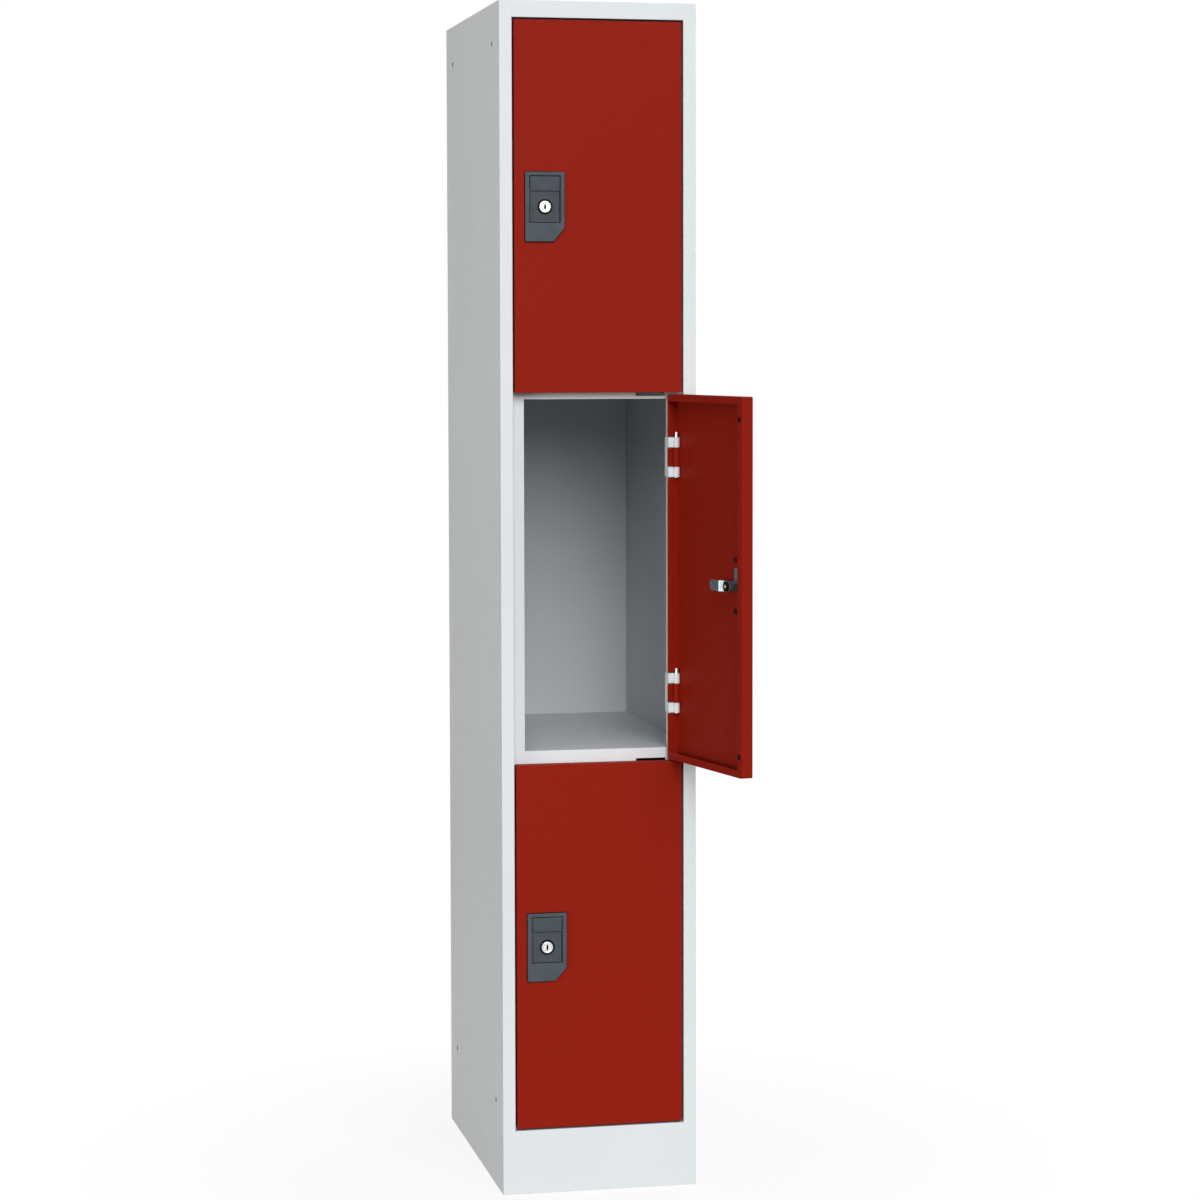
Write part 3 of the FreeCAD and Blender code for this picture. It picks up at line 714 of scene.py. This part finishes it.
def makeShelf(shelf):
    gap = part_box(shelf)[0].z + ventSlot["railLow"]
    right, left, past = ventSlot["right"], ventSlot["right"] - ventSlot["long"], ventSlot["past"]
    face, back = ventSlot["face"], ventSlot["face"] + ventSlot["sheet"]
    tray = placed(shelf + "_tray", nodes[shelf].data.copy())
    patch, vent = bmesh.new(), bmesh.new()
    filled = oblong(left - past, right + past, gap + ventSlot["solidLow"], gap + ventSlot["solidHigh"])
    prism(patch, filled, face, back, Matrix())
    shapedBy(tray, piece(shelf + "_patch", patch, None), "UNION")
    opened = oblong(left, right, gap + ventSlot["low"], gap + ventSlot["high"])
    prism(vent, opened, face - past, back + past, Matrix())
    shapedBy(tray, piece(shelf + "_slot", vent, None), "DIFFERENCE")
    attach(tray, "carcass")
    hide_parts(shelf)


for side in ("left", "right"):
    makeHoleShade(side)
    makeSeams(side)
for shelf in ("upper_shelf", "lower_shelf"):
    makeShelf(shelf)
print("hole edges, seams and shelves made")


# pale floor: it takes the shadow near the locker and runs out to white
floorLook = dict(radii=(0.5, 2.0, 40.0), steps=24, below=0.4 * mm, colour=0.90, bounce=0.25, roughness=0.9,
                 shine=0.1, glowNear=0.86, fadeFrom=0.25, fadeTo=0.9)


# 1 for what the camera sees, also in shiny or clear pieces, and 0 for light that is thrown on others
def seenDirectly(tree):
    path = tree.nodes.new("ShaderNodeLightPath")
    direct = path.outputs["Is Camera Ray"]
    for ray in ("Is Glossy Ray", "Is Transmission Ray"):
        either = tree.nodes.new("ShaderNodeMath")
        either.operation = "MAXIMUM"
        tree.links.new(direct, either.inputs[0])
        tree.links.new(path.outputs[ray], either.inputs[1])
        direct = either.outputs[0]
    return direct


def makeFloor():
    bm = bmesh.new()
    profile = [(radius, 0.0) for radius in (0.0,) + floorLook["radii"]]
    lathe(bm, profile, Matrix.Rotation(math.radians(90), 4, "X"), floorLook["steps"])
    floor = piece("floor", bm, None)
    floor.location.z = -floorLook["below"]
    paint = Finish("paleFloor")
    direct = seenDirectly(paint.tree)
    shade = paint.between(direct, floorLook["bounce"], floorLook["colour"], 0.0, 1.0)
    paint.link(shade, paint.shader.inputs["Base Color"])
    paint.set(Roughness=floorLook["roughness"], Specular_IOR_Level=floorLook["shine"])
    away = paint.add("ShaderNodeVectorMath", operation="LENGTH")
    paint.link(paint.place, away.inputs[0])
    fadeFrom, fadeTo = floorLook["fadeFrom"], floorLook["fadeTo"]
    fade = paint.between(away.outputs["Value"], floorLook["glowNear"], 1.0, fadeFrom, fadeTo)
    fade.node.interpolation_type = "SMOOTHSTEP"
    share = paint.add("ShaderNodeMath", operation="MULTIPLY")
    paint.link(fade, share.inputs[0])
    paint.link(direct, share.inputs[1])
    glow = paint.add("ShaderNodeEmission")
    mix = paint.add("ShaderNodeMixShader")
    paint.link(share.outputs[0], mix.inputs["Fac"])
    paint.link(paint.shader.outputs["BSDF"], mix.inputs[1])
    paint.link(glow.outputs["Emission"], mix.inputs[2])
    paint.link(mix.outputs["Shader"], paint.tree.nodes["Material Output"].inputs["Surface"])
    floor.data.materials.append(paint.material)


makeFloor()

# studio: weak even light all round, a broad far-off light from the front and above,
# soft lamps from the left and behind
studio = dict(around=0.20, backdrop=1.0, colour=(1.0, 1.0, 1.0, 1.0))
keyLight = dict(right=2.0, up=28.0, spread=44.0, away=6.0, power=2.55, colour=(1.0, 1.0, 1.0))
lamps = {
    "sideLamp": dict(place=(-4.2, -2.0, 0.6), aim=(-0.15, 0.0, 0.9), size=2.2, power=72.0,
                     colour=(1.0, 0.985, 0.87)),
    "backLamp": dict(place=(3.2, 3.6, 2.4), aim=(0.1, 0.2, 0.9), size=2.4, power=85.0,
                     colour=(1.0, 0.985, 0.95)),
}


def hangLight(light, look, place, shines):
    light.energy = look["power"]
    light.color = look["colour"]
    stand = placed(light.name, light)
    stand.location = place
    stand.rotation_mode = "QUATERNION"
    stand.rotation_quaternion = shines.to_track_quat("-Z", "Y")


def makeStudio():
    world = bpy.data.worlds.new("studio")
    bpy.context.scene.world = world
    world.use_nodes = True
    tree = world.node_tree
    around, backdrop = tree.nodes["Background"], tree.nodes.new("ShaderNodeBackground")
    for light, strength in ((around, studio["around"]), (backdrop, studio["backdrop"])):
        light.inputs["Color"].default_value = studio["colour"]
        light.inputs["Strength"].default_value = strength
    mix = tree.nodes.new("ShaderNodeMixShader")
    tree.links.new(seenDirectly(tree), mix.inputs["Fac"])
    tree.links.new(around.outputs["Background"], mix.inputs[1])
    tree.links.new(backdrop.outputs["Background"], mix.inputs[2])
    tree.links.new(mix.outputs["Shader"], tree.nodes["World Output"].inputs["Surface"])
    right, up = math.radians(keyLight["right"]), math.radians(keyLight["up"])
    ahead = Vector((math.sin(right) * math.cos(up), -math.cos(right) * math.cos(up), math.sin(up)))
    key = bpy.data.lights.new("keyLight", "SUN")
    key.angle = math.radians(keyLight["spread"])
    hangLight(key, keyLight, keyLight["away"] * ahead, -ahead)
    for name, look in lamps.items():
        lamp = bpy.data.lights.new(name, "AREA")
        lamp.shape = "DISK"
        lamp.size = look["size"]
        hangLight(lamp, look, Vector(look["place"]), Vector(look["aim"]) - Vector(look["place"]))


makeStudio()

# the photograph's camera, turned to the right of straight ahead, a little down and almost level;
# focal and centre are in pixels of the picture, sensor in millimetres
shot = dict(place=(-0.98448, -5.03309, 1.29963), right=0.21565, down=0.06245, roll=0.00127,
            focal=3242.205, centre=(640.0, 540.0), picture=1200.0, sensor=36.0, farthest=200.0)


def makeCamera():
    right, down, roll, picture = (shot[key] for key in ("right", "down", "roll", "picture"))
    ahead = Vector((math.sin(right) * math.cos(down), math.cos(right) * math.cos(down), -math.sin(down)))
    side = Vector((math.cos(right), -math.sin(right), 0.0))
    below = ahead.cross(side)
    across = side * math.cos(roll) + below * math.sin(roll)
    downward = below * math.cos(roll) - side * math.sin(roll)
    turn = Matrix((across, -downward, -ahead)).transposed().to_4x4()
    turn.translation = Vector(shot["place"])
    lens = bpy.data.cameras.new("photoCamera")
    lens.sensor_width = shot["sensor"]
    lens.lens = shot["focal"] / picture * shot["sensor"]
    lens.shift_x = (picture / 2 - shot["centre"][0]) / picture
    lens.shift_y = (shot["centre"][1] - picture / 2) / picture
    lens.clip_end = shot["farthest"]
    camera = placed("photoCamera", lens)
    camera.matrix_world = turn
    bpy.context.scene.camera = camera


makeCamera()
bpy.context.scene.view_settings.view_transform = "Standard"
print("floor, studio and camera set")
